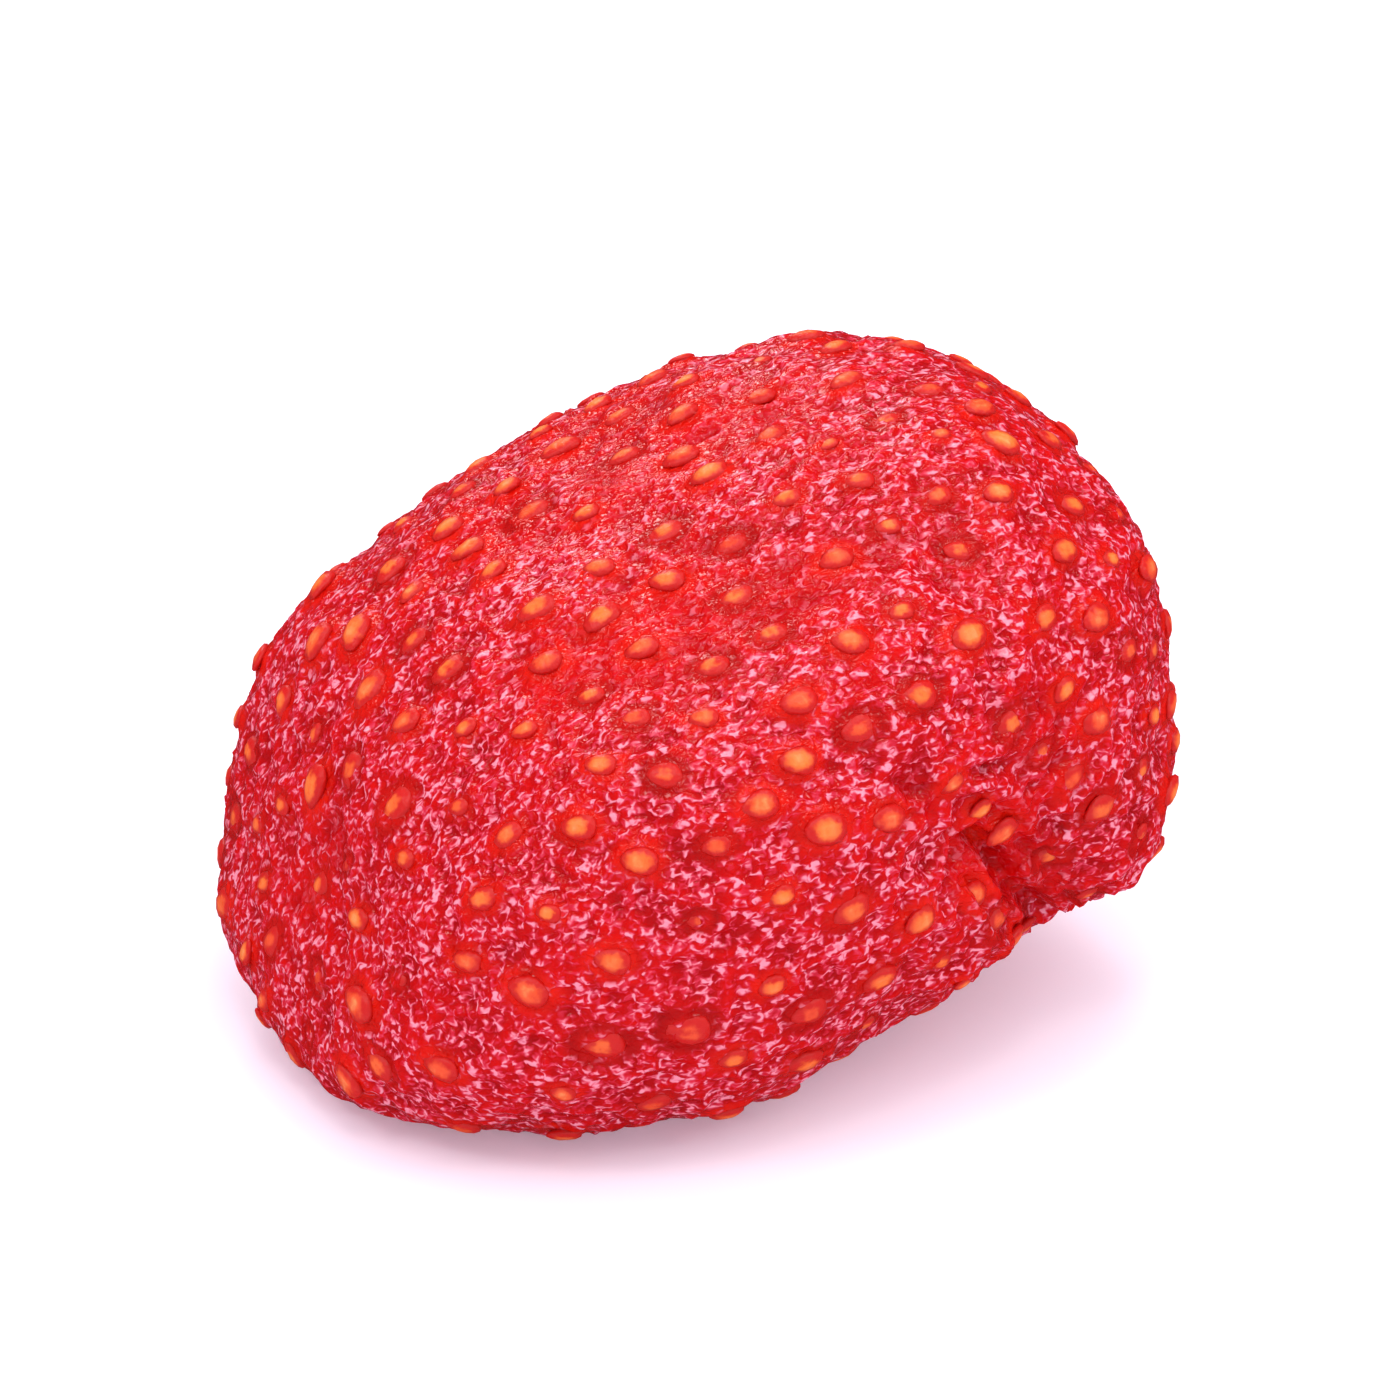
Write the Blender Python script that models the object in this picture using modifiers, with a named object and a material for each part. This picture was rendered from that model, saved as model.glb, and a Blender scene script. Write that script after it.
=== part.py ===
"""A hulled, dried strawberry lying on its side, as one solid.

The flesh and the achenes (the seed-like fruits in its skin) grew as one piece, so they are one
object: a plump, slightly boxy body with a blunt tip, shrink hollows and one fold, a shallow scar
where the leaves and stem were cut out, and low raised achenes all over the skin.

+X runs from the tip to the stem end and +Z is up. The origin is on the surface that the fruit lies
on, under the middle of its box. Units are metres.
"""

import math
import random
from collections import namedtuple

import bmesh
import bpy
from mathutils import Vector, noise
from mathutils.bvhtree import BVHTree

# Driving dimensions of the fruit.
LENGTH = 0.0342
WIDTH = 0.0293
HEIGHT = 0.0236

# How much of the underside the fruit's own weight has pressed flat.
PRESSED = 0.0007

# Achenes: how near each other they may be, how far each stands out, how far its top stands in from
# the edge of its patch of skin, and how high on the fruit they begin.
ACHENE_SPACING = 0.00205
ACHENE_RISE = 0.00035
ACHENE_INSET = 0.00022
ACHENE_LOWEST = 0.0012
ACHENE_SEED = 11

# The cage is a cube with this many patches along each edge, blown up into the body and smoothed.
CAGE_PATCHES = 5
SMOOTHING_LEVELS = 2

# 2 makes the sections ellipses; more makes them boxier.
BOXINESS = 2.6

# Slow waves all over the skin: how high they are and how far apart.
UNDULATION = 0.00038
UNDULATION_LENGTH = 0.0075

# A cross-section of the body: where it is between tip (0) and stem end (1), its width and height
# as shares of WIDTH and HEIGHT, how far its middle is shifted to the back and up, and how far its
# top leans towards the stem end. Shifts and lean in mm. The last two turn back into the scar that
# was left where the leaves and stem were cut out.
Section = namedtuple("Section", "along width height back up lean")
SECTIONS = (
    Section(-0.015, 0.00, 0.00, 0.8, -3.8, 0.0),
    Section(-0.015, 0.50, 0.54, 0.8, -3.8, 2.0),
    Section(0.045, 0.82, 0.73, 0.9, -2.6, 2.8),
    Section(0.215, 0.98, 0.85, 0.5, -1.9, 2.1),
    Section(0.400, 1.03, 0.96, 0.3, -0.8, 0.9),
    Section(0.580, 0.98, 1.02, 0.9, 0.3, 0.0),
    Section(0.760, 0.86, 1.00, 1.2, 1.4, -0.6),
    Section(0.900, 0.66, 0.76, 0.9, 2.0, -1.2),
    Section(0.970, 0.42, 0.44, 0.5, 1.5, -0.8),
    Section(0.935, 0.17, 0.18, 0.5, 1.5, 0.0),
    Section(0.915, 0.00, 0.00, 0.5, 1.5, 0.0),
)

# No achene grows this near the middle of the scar.
SCAR_RADIUS = 0.0058

# A place on the skin: how far along from tip (0) to stem end (1), and the angle round the long
# axis, 0 on top, 90 at the front (-Y), 180 underneath and 270 at the back.
# A hollow is a smooth dent between two such places. Depth is negative for a swelling. In mm.
Hollow = namedtuple("Hollow", "name start end radius depth")
HOLLOWS = (
    Hollow("valley across the upper side", (0.20, 42), (0.62, 44), 2.8, 0.5),
    Hollow("rise above the valley", (0.50, 12), (0.72, 8), 3.0, -0.3),
    Hollow("dimple near the stem end", (0.80, 35), (0.80, 35), 2.0, 0.4),
    Hollow("fuller lower front", (0.25, 130), (0.36, 130), 5.0, -0.8),
    Hollow("leaner lower front at the stem half", (0.58, 140), (0.84, 140), 4.0, 0.6),
    Hollow("fold at the lower front", (0.74, 122), (0.62, 96), 1.9, 0.9),
    Hollow("end of the fold", (0.62, 96), (0.52, 86), 2.0, 0.4),
    Hollow("lobe beside the fold", (0.84, 105), (0.80, 88), 2.6, -0.5),
    Hollow("broad hollow at the back", (0.38, 285), (0.62, 255), 4.2, 1.1),
    Hollow("crease at the back of the stem end", (0.90, 300), (0.70, 318), 2.2, 0.8),
    Hollow("dent under the tip", (0.10, 205), (0.22, 235), 3.2, 0.6),
)


def place_across(angle, half_width, half_height):
    """The point of a rounded box's outline at this angle, 0 at the top and 90 at the front."""
    side, rise = math.sin(math.radians(angle)), math.cos(math.radians(angle))
    reach = (abs(side) ** BOXINESS + abs(rise) ** BOXINESS) ** (-1 / BOXINESS)
    return -side * reach * half_width, rise * reach * half_height


def section_at(share):
    """The section at this share of the way from pole to pole, between the two nearest in the list."""
    before = min(int(share * (len(SECTIONS) - 1)), len(SECTIONS) - 2)
    blend = share * (len(SECTIONS) - 1) - before
    pairs = zip(SECTIONS[before], SECTIONS[before + 1])
    return Section(*(first + (second - first) * blend for first, second in pairs))


def place_on_body(direction):
    """Where the patch that faces this way on a ball with its poles along X comes on the body."""
    section = section_at(math.acos(-direction.x) / math.pi)
    angle = math.degrees(math.atan2(-direction.y, direction.z))
    y, z = place_across(angle, section.width * WIDTH / 2, section.height * HEIGHT / 2)
    x = section.along * LENGTH + section.lean / 1000 * math.cos(math.radians(angle))
    return Vector((x, y + section.back / 1000, z + section.up / 1000))


def body_cage():
    """A cube of even patches, blown up to a ball and from there to the body."""
    cage = bmesh.new()
    bmesh.ops.create_cube(cage, size=2)
    bmesh.ops.subdivide_edges(
        cage, edges=cage.edges, cuts=CAGE_PATCHES - 1, use_grid_fill=True
    )
    for vertex in cage.verts:
        even = Vector([math.tan(math.pi / 4 * value) for value in vertex.co])
        vertex.co = place_on_body(even.normalized())
    cage.normal_update()
    return cage


def smoothed(cage):
    """The cage as a smooth body: its Subdivision Surface, applied."""
    mesh = bpy.data.meshes.new("cage")
    cage.to_mesh(mesh)
    cage.free()
    guide = bpy.data.objects.new("cage", mesh)
    bpy.context.scene.collection.objects.link(guide)
    subdivision = guide.modifiers.new("round", "SUBSURF")
    subdivision.levels = subdivision.render_levels = SMOOTHING_LEVELS
    evaluated = guide.evaluated_get(bpy.context.evaluated_depsgraph_get())
    body = bmesh.new()
    body.from_mesh(bpy.data.meshes.new_from_object(evaluated))
    bpy.data.objects.remove(guide)
    return body


def on_skin(tree, along, angle):
    """The point and the outward normal of the skin at a place, seen from the long axis."""
    middle = Vector((along * LENGTH, 0, 0))
    side, rise = math.sin(math.radians(angle)), math.cos(math.radians(angle))
    point, normal, _, _ = tree.ray_cast(middle, Vector((0, -side, rise)))
    return point, normal


def press_hollows(body):
    """Sinks each hollow, and raises each swelling, along the normal at its middle."""
    for hollow in HOLLOWS:
        tree = BVHTree.FromBMesh(body)
        start, first = on_skin(tree, *hollow.start)
        end, last = on_skin(tree, *hollow.end)
        run = end - start
        inward = -(first + last).normalized()
        for vertex in body.verts:
            share = (vertex.co - start).dot(run) / max(run.length_squared, 1e-12)
            nearest = start + run * max(0, min(1, share))
            away = (vertex.co - nearest).length / (hollow.radius / 1000)
            if vertex.normal.dot(inward) < 0:
                vertex.co += inward * hollow.depth / 1000 * math.exp(-(away**2))
        body.normal_update()


def undulate(body):
    """The slow, uneven waves of a skin that has shrunk."""
    for vertex in body.verts:
        wave = noise.noise(vertex.co / UNDULATION_LENGTH)
        vertex.co += vertex.normal * wave * UNDULATION
    body.normal_update()


def lay_down(body):
    """Presses the underside flat on the surface, and puts the origin under the middle of the box."""
    lowest = min(vertex.co.z for vertex in body.verts)
    for vertex in body.verts:
        vertex.co.z = max(vertex.co.z - lowest - PRESSED, 0)
    low = [min(vertex.co[i] for vertex in body.verts) for i in range(2)]
    high = [max(vertex.co[i] for vertex in body.verts) for i in range(2)]
    middle = Vector((low[0] + high[0], low[1] + high[1], 0)) / 2
    bmesh.ops.translate(body, verts=body.verts, vec=-middle)
    body.normal_update()


def achene_patches(body, scar):
    """Patches of skin, each at least the spacing from the others, clear of the scar and the flat."""
    patches = list(body.faces)
    random.Random(ACHENE_SEED).shuffle(patches)
    chosen, places = [], []
    for patch in patches:
        place = patch.calc_center_median()
        crowded = any((place - other).length < ACHENE_SPACING for other in places)
        bare = (place - scar).length < SCAR_RADIUS or place.z < ACHENE_LOWEST
        if not crowded and not bare:
            chosen.append(patch)
            places.append(place)
    return chosen


def middle_of_scar(body):
    """The corner of the body where the scar is deepest."""
    last = place_on_body(Vector((1, 0, 0)))
    return min(body.verts, key=lambda vertex: (vertex.co - last).length)


def grow_achenes(body, scar):
    """Raises a low bump on each chosen patch."""
    patches = achene_patches(body, scar.co)
    bmesh.ops.inset_individual(body, faces=patches, thickness=ACHENE_INSET, depth=ACHENE_RISE)


def skin_material():
    """Dark glossy red of dried flesh."""
    material = bpy.data.materials.new("dried strawberry skin")
    material.use_nodes = True
    shader = material.node_tree.nodes["Principled BSDF"]
    shader.inputs["Base Color"].default_value = (0.56, 0.030, 0.032, 1.0)
    shader.inputs["Roughness"].default_value = 0.35
    shader.inputs["Metallic"].default_value = 0.0
    return material


def build():
    for obj in list(bpy.data.objects):
        bpy.data.objects.remove(obj)
    body = smoothed(body_cage())
    scar = middle_of_scar(body)
    press_hollows(body)
    undulate(body)
    lay_down(body)
    grow_achenes(body, scar)
    mesh = bpy.data.meshes.new("strawberry")
    body.to_mesh(mesh)
    body.free()
    fruit = bpy.data.objects.new("strawberry", mesh)
    mesh.materials.append(skin_material())
    collection = bpy.data.collections.new("strawberry")
    bpy.context.scene.collection.children.link(collection)
    collection.objects.link(fruit)


build()
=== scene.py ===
"""A whole dried strawberry: glossy, finely wrinkled flesh with its achenes set in the skin.

The flesh is the CAD solid with its bumps taken away, remeshed finely and wrinkled. Each bump of the
CAD becomes one achene, sunk in a pit or raised on a mound of the flesh, but for those that would
reach below the surface that the fruit lies on. +X runs from the tip to the stem end, -Y is the front
and +Z is up. Units are metres, and sizes in skin features are in mm.
"""

import math
import random
from collections import namedtuple

import bmesh
import bpy
import numpy as np
from mathutils import Matrix, Vector, noise
from mathutils.bvhtree import BVHTree
from mathutils.kdtree import KDTree


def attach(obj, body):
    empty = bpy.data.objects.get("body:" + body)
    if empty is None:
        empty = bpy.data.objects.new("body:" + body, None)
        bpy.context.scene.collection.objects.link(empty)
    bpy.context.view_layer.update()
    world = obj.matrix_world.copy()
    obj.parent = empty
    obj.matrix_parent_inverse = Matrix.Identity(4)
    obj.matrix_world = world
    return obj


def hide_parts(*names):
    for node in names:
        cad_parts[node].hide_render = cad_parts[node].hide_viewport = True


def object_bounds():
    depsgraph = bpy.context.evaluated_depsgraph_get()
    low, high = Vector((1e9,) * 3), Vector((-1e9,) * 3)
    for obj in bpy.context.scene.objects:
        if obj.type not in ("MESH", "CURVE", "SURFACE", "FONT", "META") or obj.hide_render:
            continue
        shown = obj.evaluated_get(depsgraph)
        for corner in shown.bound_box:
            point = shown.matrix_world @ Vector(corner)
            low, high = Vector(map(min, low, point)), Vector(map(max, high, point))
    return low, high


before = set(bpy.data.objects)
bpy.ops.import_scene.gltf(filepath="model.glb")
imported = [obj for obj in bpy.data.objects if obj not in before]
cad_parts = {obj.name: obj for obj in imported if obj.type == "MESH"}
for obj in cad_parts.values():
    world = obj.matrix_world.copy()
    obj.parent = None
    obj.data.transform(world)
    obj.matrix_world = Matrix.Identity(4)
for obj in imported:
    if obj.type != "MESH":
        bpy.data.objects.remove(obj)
cad_low, cad_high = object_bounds()

MM = 0.001
SEED = 5

# The size of the little cubes that the skin's mesh is rebuilt from, in mm.
GRAIN = 0.21
SMOOTHING_PASSES = 16

# Corners of the CAD mesh nearer than this are one corner, and a bump's edges are sharper than this.
MERGE_DISTANCE = 1e-5
SHARP_EDGE = math.radians(30)

# An achene: half its length, half its width and half its thickness, in mm.
ACHENE_HALF_LENGTH = 0.72
ACHENE_HALF_WIDTH = 0.53
ACHENE_HALF_THICKNESS = 0.24
ACHENE_SIDES = 10
ACHENE_RINGS = 7

# How much further the red skin comes over the achenes that sit lowest, as a share of their size.
COVER = 0.35


# The fold at the lower front: places along it, as shares of the fruit's length from the tip and
# degrees round the long axis from the top to the front, how deep and wide it is, and the height,
# spacing and reach of the ridges of loose skin beside it, in mm.
FOLD_LINE = ((0.80, 136), (0.75, 124), (0.70, 111), (0.66, 100), (0.63, 94))
FOLD_DEPTH = 0.60
FOLD_HALF_WIDTH = 0.45
RIDGE_HEIGHT = 0.20
RIDGE_SPACING = 1.35
RIDGE_REACH = 3.2

# The lobe that hangs over the fold: its place, how far it swells and how wide it is, in mm.
LOBE_PLACE = (0.86, 124)
LOBE_HEIGHT = 0.85
LOBE_RADIUS = 2.9

Achene = namedtuple("Achene", "place normal towards_tip across size proud tint")


# ---------------------------------------------------------------- the body and its achenes


def merged_copy(node):
    """The CAD node's mesh as a bmesh, with the corners that its faces share made one."""
    copy = bmesh.new()
    copy.from_mesh(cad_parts[node].data)
    bmesh.ops.remove_doubles(copy, verts=copy.verts, dist=MERGE_DISTANCE)
    copy.normal_update()
    return copy


def bump_tops(body):
    """The four top corners of each bump, as a list of lists."""
    tops = {
        vertex
        for vertex in body.verts
        if sum(edge.calc_face_angle_signed(0) > SHARP_EDGE for edge in vertex.link_edges) >= 3
    }
    groups = []
    for first in sorted(tops, key=lambda vertex: vertex.co[:]):
        if any(first in group for group in groups):
            continue
        group = [first]
        for vertex in group:
            neighbours = [edge.other_vert(vertex) for edge in vertex.link_edges]
            group += [near for near in neighbours if near in tops and near not in group]
        groups.append(group)
    return groups


def flatten(group):
    """Presses one bump down to the skin round it, and gives the place and the skin's normal."""
    around = {edge.other_vert(vertex) for vertex in group for edge in vertex.link_edges}
    around -= set(group)
    level = sum((vertex.co for vertex in around), Vector()) / len(around)
    normal = sum((vertex.normal for vertex in around), Vector()).normalized()
    for vertex in group:
        vertex.co -= normal * (vertex.co - level).dot(normal)
    place = sum((vertex.co for vertex in group), Vector()) / len(group)
    return place, normal


def towards_tip(place, normal):
    """The direction on the skin that leads to the fruit's tip."""
    tip = Vector((cad_low.x, 0, cad_high.z * 0.35))
    way = tip - place
    return (way - normal * way.dot(normal)).normalized()


def grown_achenes(body):
    """An achene for each bump, in random sizes, some standing proud and some sunk."""
    dice = random.Random(SEED)
    achenes = []
    for group in bump_tops(body):
        place, normal = flatten(group)
        along = towards_tip(place, normal)
        along = Matrix.Rotation(dice.gauss(0, 0.22), 3, normal) @ along
        size = min(1.2, max(0.55, dice.gauss(0.90, 0.17)))
        proud = dice.random() ** 0.75
        achenes.append(
            Achene(place, normal, along, normal.cross(along), size, proud, dice.random())
        )
    body.normal_update()
    return achenes


def broad_relief(body):
    """How far each corner stands out from its surroundings, in mm: low in the shrink hollows."""
    before = [vertex.co.copy() for vertex in body.verts]
    for _ in range(14):
        bmesh.ops.smooth_vert(
            body, verts=body.verts, factor=0.5, use_axis_x=True, use_axis_y=True, use_axis_z=True
        )
    body.normal_update()
    relief = [(old - vertex.co).dot(vertex.normal) / MM for old, vertex in zip(before, body.verts)]
    for old, vertex in zip(before, body.verts):
        vertex.co = old
    body.normal_update()
    return relief


def fine_skin(body):
    """The body's skin as an even, fine, smooth mesh."""
    rough = bpy.data.meshes.new("rough")
    body.to_mesh(rough)
    guide = bpy.data.objects.new("rough", rough)
    bpy.context.scene.collection.objects.link(guide)
    remesh = guide.modifiers.new("even", "REMESH")
    remesh.mode = "VOXEL"
    remesh.voxel_size = GRAIN * MM
    evaluated = guide.evaluated_get(bpy.context.evaluated_depsgraph_get())
    skin = bmesh.new()
    skin.from_mesh(bpy.data.meshes.new_from_object(evaluated))
    bpy.data.objects.remove(guide)
    for _ in range(SMOOTHING_PASSES):
        bmesh.ops.smooth_vert(
            skin, verts=skin.verts, factor=0.5, use_axis_x=True, use_axis_y=True, use_axis_z=True
        )
    skin.normal_update()
    return skin


# ---------------------------------------------------------------- fields over the skin


def smooth_step(low, high, values):
    """0 below low, 1 above high and smooth between."""
    share = np.clip((values - low) / (high - low), 0, 1)
    return share * share * (3 - 2 * share)


def waves(points, size, offset=0.0):
    """Smooth noise between about -1 and 1 over points in mm, its waves about size mm long."""
    shift = Vector((offset, -offset, 2 * offset))
    return np.array([noise.noise(Vector(point) / size + shift) for point in points]) * 1.7


def creases(points, size, offset=0.0):
    """Noise that is 1 on winding ridge lines about size mm apart, and falls to 0 between them."""
    return 1 - np.abs(waves(points, size, offset)).clip(0, 1)


def nearest_values(points, known, values, count=3):
    """Values known at some places, spread to the points by nearness."""
    tree = KDTree(len(known))
    for index, place in enumerate(known):
        tree.insert(place, index)
    tree.balance()
    spread = []
    for point in points:
        near = tree.find_n(point, count)
        weights = [1 / (distance + 1e-6) for _, _, distance in near]
        total = sum(weight * values[index] for weight, (_, index, _) in zip(weights, near))
        spread.append(total / sum(weights))
    return np.array(spread)


def achene_distance(points, achenes):
    """For each point, its nearest achene and how far off it is, 1 being that achene's outline."""
    tree = KDTree(len(achenes))
    for index, achene in enumerate(achenes):
        tree.insert(achene.place, index)
    tree.balance()
    owner = np.array([tree.find(point)[1] for point in points])
    places = np.array([achene.place for achene in achenes])[owner]
    along = np.array([achene.towards_tip for achene in achenes])[owner]
    across = np.array([achene.across for achene in achenes])[owner]
    size = np.array([achene.size for achene in achenes])[owner]
    away = (points - places) / MM
    length = np.einsum("ij,ij->i", away, along) / (ACHENE_HALF_LENGTH * size)
    width = np.einsum("ij,ij->i", away, across) / (ACHENE_HALF_WIDTH * size)
    return owner, np.hypot(length, width)


def stem_scar(points, achenes):
    """How far each point is from the middle of the scar, in mm, and its angle round the scar.

    The scar is the bare place at the stem end, so its middle is furthest from any achene."""
    end = points[points[:, 0] > cad_high.x - 7 * MM]
    places = np.array([achene.place for achene in achenes])
    clear = np.array([np.linalg.norm(places - point, axis=1).min() for point in end])
    middle = end[clear > np.quantile(clear, 0.98)].mean(0)
    away = (points - middle) / MM
    return np.linalg.norm(away, axis=1), np.arctan2(away[:, 2], away[:, 1])


def on_skin(body, along, angle):
    """The place on the skin at a share of the length, at an angle round the long axis."""
    middle = (cad_low + cad_high) / 2
    middle.x = cad_low.x + along * (cad_high.x - cad_low.x)
    outward = Vector((0, -math.sin(math.radians(angle)), math.cos(math.radians(angle))))
    found, _, _, _ = BVHTree.FromBMesh(body).ray_cast(middle, outward)
    return np.array(found)


def line_distance(points, line):
    """How far each point is from a line of several straight pieces, in mm."""
    nearest = np.full(len(points), np.inf)
    for start, end in zip(line, line[1:]):
        run = end - start
        share = ((points - start) @ run / (run @ run)).clip(0, 1)
        away = np.linalg.norm(points - start - share[:, None] * run, axis=1) / MM
        nearest = np.minimum(nearest, away)
    return nearest


def fold_wrinkles(far, inside):
    """The fold and the ridges of loose skin beside it, for points this far from its line, in mm."""
    ripples = np.cos(far * 2 * math.pi / RIDGE_SPACING + math.pi + waves(inside, 2.6, 71) * 1.6)
    ridges = ripples * np.exp(-((far / RIDGE_REACH) ** 2)) * RIDGE_HEIGHT
    return ridges - np.exp(-((far / FOLD_HALF_WIDTH) ** 2)) * FOLD_DEPTH


def streaks(inside):
    """Long ridges that run from tip to stem end."""
    stretched = inside * np.array([0.32, 1.0, 1.0])
    return (creases(stretched, 1.1, 91) - 0.6) * smooth_step(-0.1, 0.6, waves(inside, 7.0, 97))


def wrinkle(skin, achenes, coarse, relief, fold, lobe):
    """Wrinkles the skin, sets pits and mounds for the achenes, and returns what its colour follows."""
    points = np.array([vertex.co for vertex in skin.verts])
    normals = np.array([vertex.normal for vertex in skin.verts])
    inside = points / MM
    owner, off = achene_distance(points, achenes)
    proud = np.array([achene.proud for achene in achenes])[owner]
    radius, turn = stem_scar(points, achenes)
    rays = np.cos(turn * 13 + waves(inside, 2.0, 51) * 2.4)
    scar = 1 - smooth_step(2.0, 3.6, radius + waves(inside, 1.3) * 0.6 + rays * 0.25)

    warp = np.stack([waves(inside, 1.9, 11), waves(inside, 1.9, 23), waves(inside, 1.9, 37)], 1)
    warped = inside + warp * 0.35
    far = line_distance(points, fold)
    loose = 1 + 1.3 * np.exp(-((far / (RIDGE_REACH * 1.2)) ** 2))
    folds = waves(inside, 3.4, 3) * 0.20
    wide = (creases(warped, 1.6, 5) - 0.6) * 0.20 * loose
    narrow = (creases(warped, 0.8, 8) - 0.6) * 0.13 * loose
    near = 1 - smooth_step(0.9, 2.1, off)
    seat = near * (0.22 * proud - 0.14) + np.sqrt((1 - (off / 1.35) ** 2).clip(0, 1)) * 0.16
    rim = np.exp(-(((off - 1.75) / 0.42) ** 2)) * (0.09 - 0.06 * proud)
    puckers = rays * np.exp(-(((radius - 3.4) / 1.7) ** 2)) * 0.17
    cup = 0.26 * np.exp(-(((radius - 3.1) / 0.8) ** 2)) - 0.55 * np.exp(-((radius / 2.3) ** 2))
    core = 0.35 * np.exp(-((radius / 0.8) ** 2))
    quiet = 1 - 0.45 * near
    height = folds + (wide + narrow) * quiet + seat + rim + puckers + cup + core
    height = height + fold_wrinkles(far, inside) + streaks(inside) * 0.20 * quiet
    across = np.linalg.norm(points - lobe, axis=1) / MM
    height = height + LOBE_HEIGHT * np.exp(-((across / LOBE_RADIUS) ** 2)) * smooth_step(0, 1.2, far)
    moved = points + normals * height[:, None] * MM
    flat = smooth_step(0.10, 0.9, points[:, 2] / MM)
    moved = points + (moved - points) * (0.12 + 0.88 * flat)[:, None]
    moved[:, 2] = np.maximum(moved[:, 2], 0)
    for vertex, place in zip(skin.verts, moved):
        vertex.co = place

    return {
        # crease is low in the wrinkle valleys, which the flesh's material darkens as painted shade.
        "crease": ((wide + narrow) / 0.22 + 0.5).clip(0, 1),
        "halo": np.exp(-(((off - 1.1) / 0.55) ** 2)),
        # pit marks the pits round the achenes that sit low, which the flesh's material darkens as
        # painted shade.
        "pit": np.exp(-(((off - 1.25) / 0.5) ** 2)) * smooth_step(0.65, 0.25, proud),
        "scar": scar,
        "ray": rays * 0.5 + 0.5,
        "hollow": smooth_step(0.28, -0.05, nearest_values(points, coarse, relief)),
    }


# ---------------------------------------------------------------- making the pieces


def finished(name, mesh, material):
    """A piece of the fruit: an object with its mesh, in the shape of its one material."""
    for face in mesh.polygons:
        face.use_smooth = True
    mesh.materials.append(material)
    piece = bpy.data.objects.new(name, mesh)
    bpy.context.scene.collection.objects.link(piece)
    return piece


def note(mesh, name, values):
    """Keeps one number per corner of the mesh for its material."""
    attribute = mesh.attributes.new(name, "FLOAT", "POINT")
    attribute.data.foreach_set("value", np.asarray(values, dtype=np.float32))


def make_flesh(body, achenes):
    """The flesh and skin of the fruit."""
    relief = broad_relief(body)
    fold = [on_skin(body, along, angle) for along, angle in FOLD_LINE]
    lobe = on_skin(body, *LOBE_PLACE)
    coarse = [vertex.co.copy() for vertex in body.verts]
    skin = fine_skin(body)
    fields = wrinkle(skin, achenes, coarse, relief, fold, lobe)
    mesh = bpy.data.meshes.new("flesh")
    skin.to_mesh(mesh)
    for name, values in fields.items():
        note(mesh, name, values)
    piece = finished("flesh", mesh, flesh_material())
    return piece, BVHTree.FromBMesh(skin)


def achene_ring(t, side):
    """A point of the teardrop at t along it, from -1 (blunt end) to 1 (pointed end)."""
    reach = math.sqrt(max(0, 1 - t * t)) * (1 - 0.22 * t)
    return Vector((t, math.cos(side) * reach, math.sin(side) * reach))


def add_achene(pile, achene, skin):
    """One teardrop, its long axis on the skin and its point to the tip, half sunk in the flesh."""
    found, _, _, _ = skin.ray_cast(achene.place + achene.normal * MM, -achene.normal, 2 * MM)
    rise = (0.13 * achene.proud - 0.15) * MM
    seat = (found or achene.place) + achene.normal * rise
    if seat.z < ACHENE_HALF_THICKNESS * MM:
        return []
    turn = Matrix((achene.towards_tip, achene.across, achene.normal)).transposed()
    halves = (ACHENE_HALF_LENGTH, ACHENE_HALF_WIDTH, ACHENE_HALF_THICKNESS)
    turn = turn @ Matrix.Diagonal(Vector(halves) * MM * achene.size)
    made = [pile.verts.new(seat + turn @ Vector((-1, 0, 0)))]
    for ring in range(1, ACHENE_RINGS):
        t = -math.cos(math.pi * ring / ACHENE_RINGS)
        for side in range(ACHENE_SIDES):
            spot = achene_ring(t, 2 * math.pi * side / ACHENE_SIDES)
            spot *= 1 + 0.16 * noise.noise(spot * 1.3 + achene.place / MM)
            made.append(pile.verts.new(seat + turn @ spot))
    made.append(pile.verts.new(seat + turn @ Vector((1, 0, 0))))
    close_achene(pile, made)
    return made


def close_achene(pile, made):
    """The faces between an achene's rings, and the two fans that close its ends."""
    for side in range(ACHENE_SIDES):
        after = (side + 1) % ACHENE_SIDES
        pile.faces.new((made[0], made[1 + after], made[1 + side]))
        for ring in range(ACHENE_RINGS - 2):
            here, ahead = 1 + ring * ACHENE_SIDES, 1 + (ring + 1) * ACHENE_SIDES
            quad = (made[here + side], made[here + after], made[ahead + after], made[ahead + side])
            pile.faces.new(quad)
        last = 1 + (ACHENE_RINGS - 2) * ACHENE_SIDES
        pile.faces.new((made[last + side], made[last + after], made[-1]))


def bareness(place, made, achene):
    """How bare of red skin an achene is at a place on it: 1 on its top and 0 at its edge."""
    middle = (made[0].co + made[-1].co) / 2
    away = (place - middle) / (MM * achene.size)
    along = away.dot(achene.towards_tip) / ACHENE_HALF_LENGTH
    across = away.dot(achene.across) / ACHENE_HALF_WIDTH
    return 1 - 1.2 * math.hypot(along, across) - COVER * (1 - achene.proud)


def make_achenes(achenes, skin):
    """All the achenes, as one piece."""
    pile = bmesh.new()
    tints, bares = [], []
    for achene in achenes:
        made = add_achene(pile, achene, skin)
        tints += [achene.tint] * len(made)
        bares += [bareness(vertex.co, made, achene) for vertex in made]
    pile.normal_update()
    mesh = bpy.data.meshes.new("achenes")
    pile.to_mesh(mesh)
    note(mesh, "tint", tints)
    note(mesh, "bare", bares)
    return finished("achenes", mesh, achene_material())


# ---------------------------------------------------------------- materials


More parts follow.
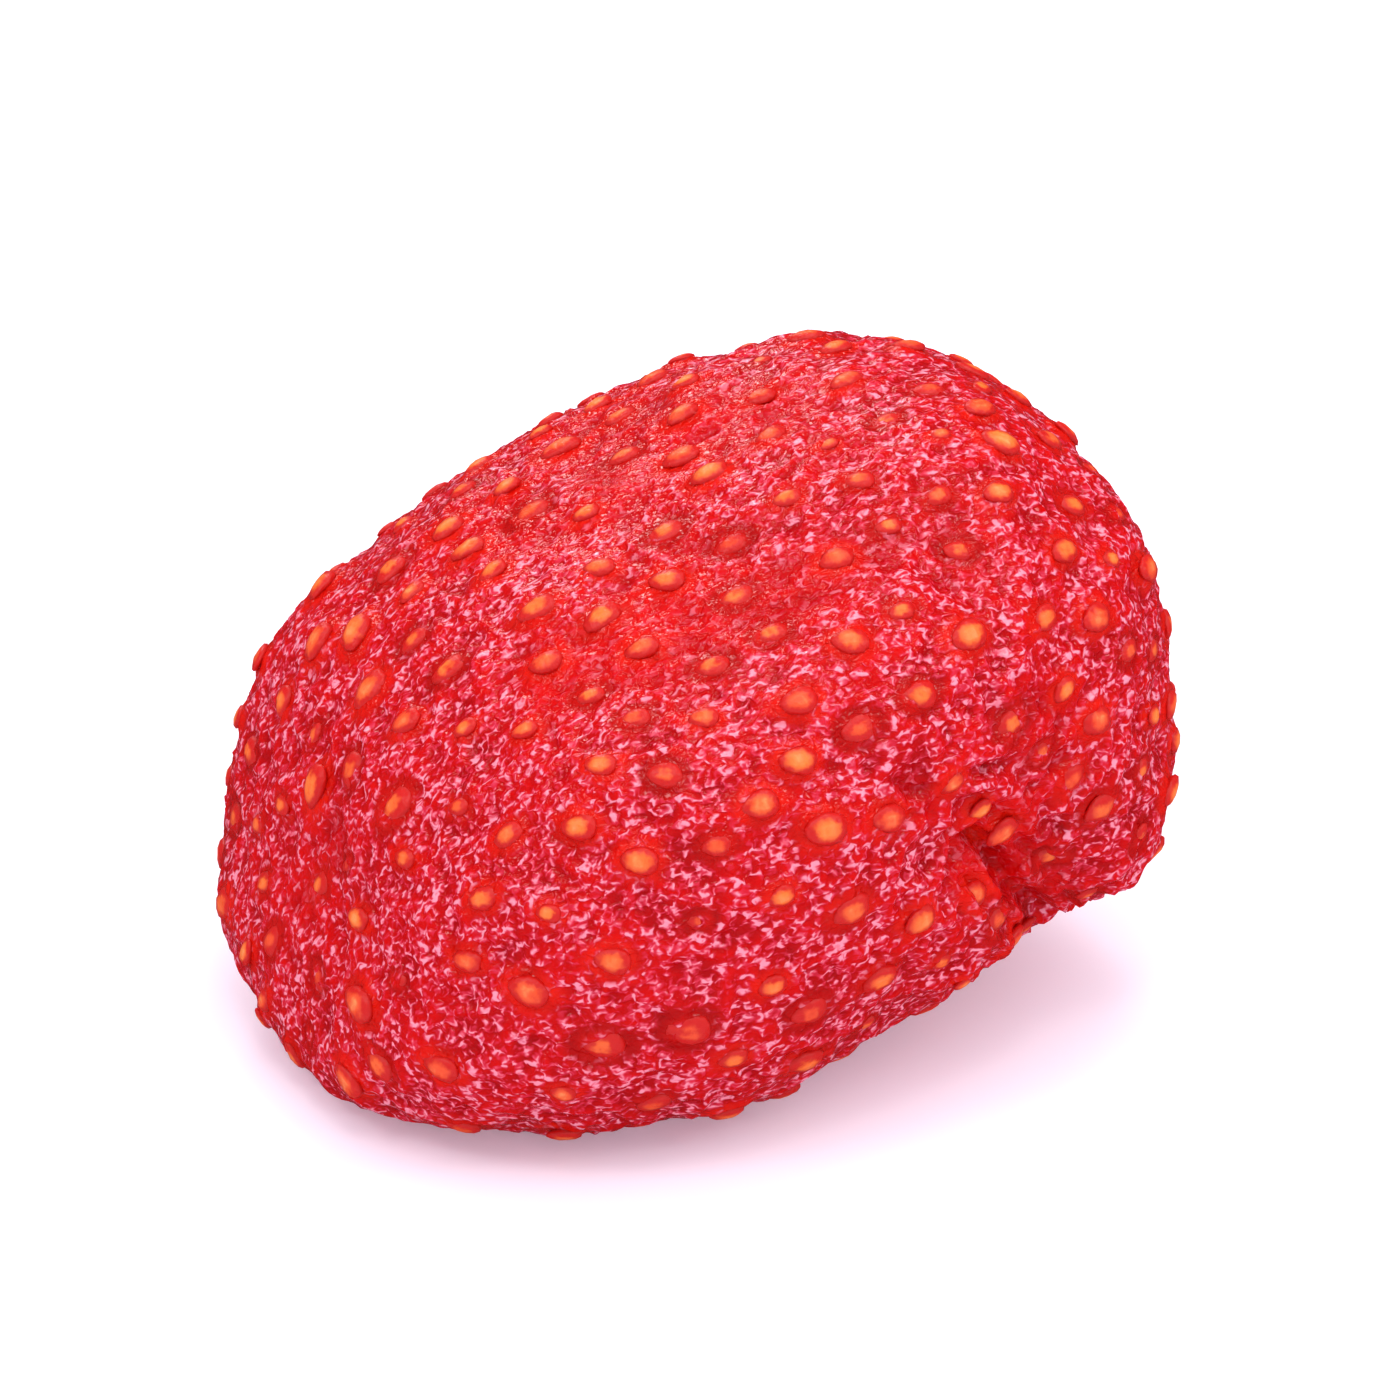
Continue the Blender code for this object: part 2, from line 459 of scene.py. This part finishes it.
class Shade:
    """An output socket of a material, so that shader maths can be written as an expression."""

    def __init__(self, socket):
        self.socket = socket
        self.tree = socket.id_data

    def node(self, kind, settings, inputs, output=0):
        """A new node of the same material: its settings, then its sockets' values or links."""
        made = self.tree.nodes.new(kind)
        for name, value in settings.items():
            setattr(made, name, value)
        for name, value in inputs.items():
            if isinstance(value, Shade):
                self.tree.links.new(value.socket, made.inputs[name])
            else:
                made.inputs[name].default_value = value
        return Shade(made.outputs[output])

    def math(self, operation, first, second):
        return self.node("ShaderNodeMath", {"operation": operation}, {0: first, 1: second})

    def __add__(self, other):
        return self.math("ADD", self, other)

    __radd__ = __add__

    def __sub__(self, other):
        return self.math("SUBTRACT", self, other)

    def __rsub__(self, other):
        return self.math("SUBTRACT", other, self)

    def __mul__(self, other):
        return self.math("MULTIPLY", self, other)

    __rmul__ = __mul__

    def __abs__(self):
        return self.math("ABSOLUTE", self, 0.0)

    def between(self, low, high):
        """0 below low, 1 above high and smooth between."""
        settings = {"interpolation_type": "SMOOTHSTEP"}
        return self.node("ShaderNodeMapRange", settings, {"Value": self, 1: low, 2: high})

    def noise(self, per_mm, detail=2.0, distortion=0.0):
        """Smooth noise from 0 to 1 over this position in metres."""
        inputs = {"Vector": self, "Scale": per_mm / MM, "Detail": detail, "Distortion": distortion}
        return self.node("ShaderNodeTexNoise", {"noise_dimensions": "3D"}, inputs)

    def blend(self, first, second):
        """The first colour where this is 0 and the second where it is 1."""
        inputs = {"Factor": self, 6: first, 7: second}
        return self.node("ShaderNodeMix", {"data_type": "RGBA"}, inputs, output=2)


def start_material(name):
    """A new material, its shader, its position in metres, and a way to read the mesh's numbers."""
    material = bpy.data.materials.new(name)
    material.use_nodes = True
    tree = material.node_tree
    shader = tree.nodes["Principled BSDF"]
    place = Shade(tree.nodes.new("ShaderNodeTexCoord").outputs["Object"])

    def noted(name):
        settings = {"attribute_name": name, "attribute_type": "GEOMETRY"}
        return place.node("ShaderNodeAttribute", settings, {}, output="Fac")

    return material, shader, place, noted


def feed(shader, name, value):
    """Sets a socket of the shader, or links it."""
    if isinstance(value, Shade):
        value.tree.links.new(value.socket, shader.inputs[name])
    else:
        shader.inputs[name].default_value = value


def colour(red, green, blue):
    """A colour given as it looks on a screen, 0 to 255, as the shader's linear values."""
    parts = [value / 255 for value in (red, green, blue)]
    linear = [part / 12.92 if part <= 0.04045 else ((part + 0.055) / 1.055) ** 2.4 for part in parts]
    return (*linear, 1.0)


def worms(place, per_mm, width, distortion):
    """1 on short winding lines, 0 between them."""
    lines = abs(place.noise(per_mm, 2.0, distortion) - 0.5)
    return 1 - lines.between(width * 0.25, width)


def flesh_material():
    """Clear deep red under a finely wrinkled skin, with painted shade in its creases and pits and
    painted glints and sheen on its crests.
    """
    material, shader, place, noted = start_material("dried strawberry flesh")
    hollow, crease, halo, pit = noted("hollow"), noted("crease"), noted("halo"), noted("pit")
    scar, ray = noted("scar"), noted("ray")
    patches = place.noise(0.28, 3.0)
    broken = place.noise(0.9, 2.0).between(0.36, 0.62)
    drawn_out = place.node(
        "ShaderNodeVectorMath", {"operation": "MULTIPLY"}, {0: place, 1: (0.72, 1.0, 1.0)}
    )
    grain = drawn_out.noise(3.9, 1.2, 0.7)
    high_up = place.node("ShaderNodeSeparateXYZ", {}, {0: place}, output="Z") * (1 / (24 * MM))

    # Painted glints and sheen: the pink and pale flecks on the crests of the fine grain stand for
    # light that the wrinkled skin mirrors. There are more of them in random patches, on wrinkle crests
    # and lower down, and fewer in the hollows and beside the achenes.
    painted_glint_spread = patches * 1.8 + (0.5 - hollow) * 1.2 + crease * 0.45 + (0.5 - high_up) * 0.35
    painted_glint_cover = painted_glint_spread.between(0.75, 1.60)
    bare = 1 - (halo * (broken * 0.6 + 0.5)).between(0.1, 0.8)
    # Painted sheen in pink, and brighter painted glints in pale pink at the top of the same grain.
    painted_sheen = grain.between(0.44, 0.60) * (painted_glint_cover * 0.85 + 0.26) * bare
    bright = grain.between(0.55, 0.70) * (painted_glint_cover * 0.90 + broken * 0.22 + 0.08) * bare
    # Painted shade: the valleys of the wrinkles are a darker red than their crests.
    deep = crease.blend(colour(172, 1, 8), colour(208, 3, 4))
    clear = (hollow * 0.6).blend(deep, colour(212, 4, 2))
    glow = (halo * (1 - broken * 0.4) * 0.8).blend(clear, colour(226, 26, 6))
    # Painted shade: dark red in the pits round the achenes that sit low.
    pit_shaded = (pit * 0.75).blend(glow, colour(160, 2, 8))
    with_painted_sheen = painted_sheen.blend(pit_shaded, colour(214, 44, 70))
    pale = bright.blend(with_painted_sheen, colour(246, 150, 168))
    strand = (ray * 0.6 + broken * 0.5).between(0.2, 0.9)
    cut = strand.blend(colour(172, 14, 18), colour(222, 96, 76))
    base = (scar * 0.85).blend(pale, cut)

    height = grain + broken * 0.3
    bump = place.node(
        "ShaderNodeBump", {}, {"Strength": 1.0, "Distance": 0.16 * MM, "Height": height}
    )
    feed(shader, "Base Color", base)
    feed(shader, "Roughness", 0.18 + scar * 0.20)
    feed(shader, "Normal", bump)
    feed(shader, "IOR", 1.50)
    feed(shader, "Subsurface Weight", 0.25)
    feed(shader, "Subsurface Radius", (1.0, 0.14, 0.10))
    feed(shader, "Subsurface Scale", 0.9 * MM)
    return material


def achene_material():
    """Amber to orange-red, darker where the achene goes into the flesh and palest on its bare top,
    partly as a painted highlight.
    """
    material, shader, place, noted = start_material("achene")
    tint, bare = noted("tint"), noted("bare")
    streaks = place.noise(2.6, 3.0)
    showing = bare + (streaks - 0.5) * 0.9
    amber = tint.between(0.15, 0.95).blend(colour(252, 118, 40), colour(236, 78, 30))
    worn = (streaks.between(0.45, 0.7) * 0.5).blend(amber, colour(226, 70, 30))
    edged = showing.between(-0.05, 0.40).blend(colour(204, 12, 6), worn)
    # The palest yellow on each achene's bare top is partly its own colour and partly a painted
    # highlight.
    base = (showing.between(0.35, 0.85) * 0.65).blend(edged, colour(255, 176, 100))
    bump = place.node(
        "ShaderNodeBump", {}, {"Strength": 0.8, "Distance": 0.12 * MM, "Height": streaks}
    )
    feed(shader, "Base Color", base)
    feed(shader, "Roughness", 0.30 + streaks * 0.20)
    feed(shader, "Normal", bump)
    feed(shader, "IOR", 1.48)
    feed(shader, "Subsurface Weight", 0.2)
    feed(shader, "Subsurface Radius", (1.0, 0.35, 0.12))
    feed(shader, "Subsurface Scale", 0.5 * MM)
    return material


# ---------------------------------------------------------------- stage, light and camera

AZIMUTH = math.radians(-27)
ELEVATION = math.radians(25)
LENS = 200
FRAMED_WIDTH = 0.052
SENSOR = 36

# Where each lamp is from the fruit, as azimuth and elevation in degrees, how wide it is and how
# strong, in metres and watts, and whether the skin mirrors it.
Lamp = namedtuple("Lamp", "name azimuth elevation distance width watts mirrored")
LAMPS = (
    Lamp("wide overhead", 30, 76, 0.60, 0.80, 1.9, False),
    Lamp("key", -85, 50, 0.50, 0.11, 0.28, True),
    Lamp("front", -30, 66, 0.50, 0.10, 0.20, True),
    Lamp("top", 110, 72, 0.50, 0.11, 0.26, True),
    Lamp("right", 45, 34, 0.55, 0.10, 0.28, True),
    Lamp("behind", 170, 32, 0.60, 0.14, 0.45, True),
)


def seen_from(azimuth, elevation):
    """The direction to the viewer. Azimuth 0 is in front (-Y), and more goes round to +X."""
    level = math.cos(elevation)
    return Vector((math.sin(azimuth) * level, -math.cos(azimuth) * level, math.sin(elevation)))


def look_at(thing, target, back, distance):
    """Puts a camera or a lamp at a distance from its target, looking at it."""
    right = Vector((0, 0, 1)).cross(back).normalized()
    turn = Matrix((right, back.cross(right), back)).transposed()
    thing.matrix_world = Matrix.Translation(target + back * distance) @ turn.to_4x4()


def make_floor():
    """A plain pale floor."""
    sheet = bmesh.new()
    bmesh.ops.create_grid(sheet, x_segments=1, y_segments=1, size=3.0)
    mesh = bpy.data.meshes.new("floor")
    sheet.to_mesh(mesh)
    material, shader, place, _ = start_material("pale floor")
    mottled = place.noise(0.01, 2.0)
    feed(shader, "Base Color", mottled.blend((0.86, 0.82, 0.90, 1), (0.89, 0.86, 0.93, 1)))
    feed(shader, "Roughness", 0.55)
    feed(shader, "Emission Color", (0.88, 0.82, 1.0, 1))
    feed(shader, "Emission Strength", 0.24)
    floor = finished("floor", mesh, material)
    floor.visible_glossy = False


def light_the_stage(target):
    """Soft lamps all round and a bright, nearly white surrounding."""
    for lamp in LAMPS:
        light = bpy.data.lights.new(lamp.name, "AREA")
        light.size = lamp.width
        light.energy = lamp.watts
        holder = bpy.data.objects.new(lamp.name, light)
        holder.visible_glossy = lamp.mirrored
        bpy.context.scene.collection.objects.link(holder)
        back = seen_from(math.radians(lamp.azimuth), math.radians(lamp.elevation))
        look_at(holder, target, back, lamp.distance)
    world = bpy.data.worlds.new("bright surroundings")
    world.use_nodes = True
    tree = world.node_tree
    backdrop = tree.nodes["Background"]
    backdrop.inputs["Color"].default_value = (0.95, 0.92, 1.0, 1)
    mirrored = Shade(tree.nodes.new("ShaderNodeLightPath").outputs["Is Glossy Ray"])
    feed(backdrop, "Strength", 1.0 - mirrored * 0.95)
    bpy.context.scene.world = world
    bpy.context.scene.view_settings.view_transform = "Standard"


def set_camera(target):
    """A long lens at the viewing angle, with the fruit in the middle."""
    lens = bpy.data.cameras.new("camera")
    lens.lens = LENS
    lens.sensor_width = SENSOR
    lens.clip_start = 0.01
    camera = bpy.data.objects.new("camera", lens)
    bpy.context.scene.collection.objects.link(camera)
    distance = FRAMED_WIDTH * LENS / SENSOR
    look_at(camera, target, seen_from(AZIMUTH, ELEVATION), distance)
    bpy.context.scene.camera = camera


def build():
    body = merged_copy("strawberry")
    achenes = grown_achenes(body)
    flesh, skin = make_flesh(body, achenes)
    seeds = make_achenes(achenes, skin)
    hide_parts("strawberry")
    for piece in (flesh, seeds):
        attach(piece, "root")
    middle = (cad_low + cad_high) / 2
    make_floor()
    light_the_stage(middle)
    set_camera(middle)


build()
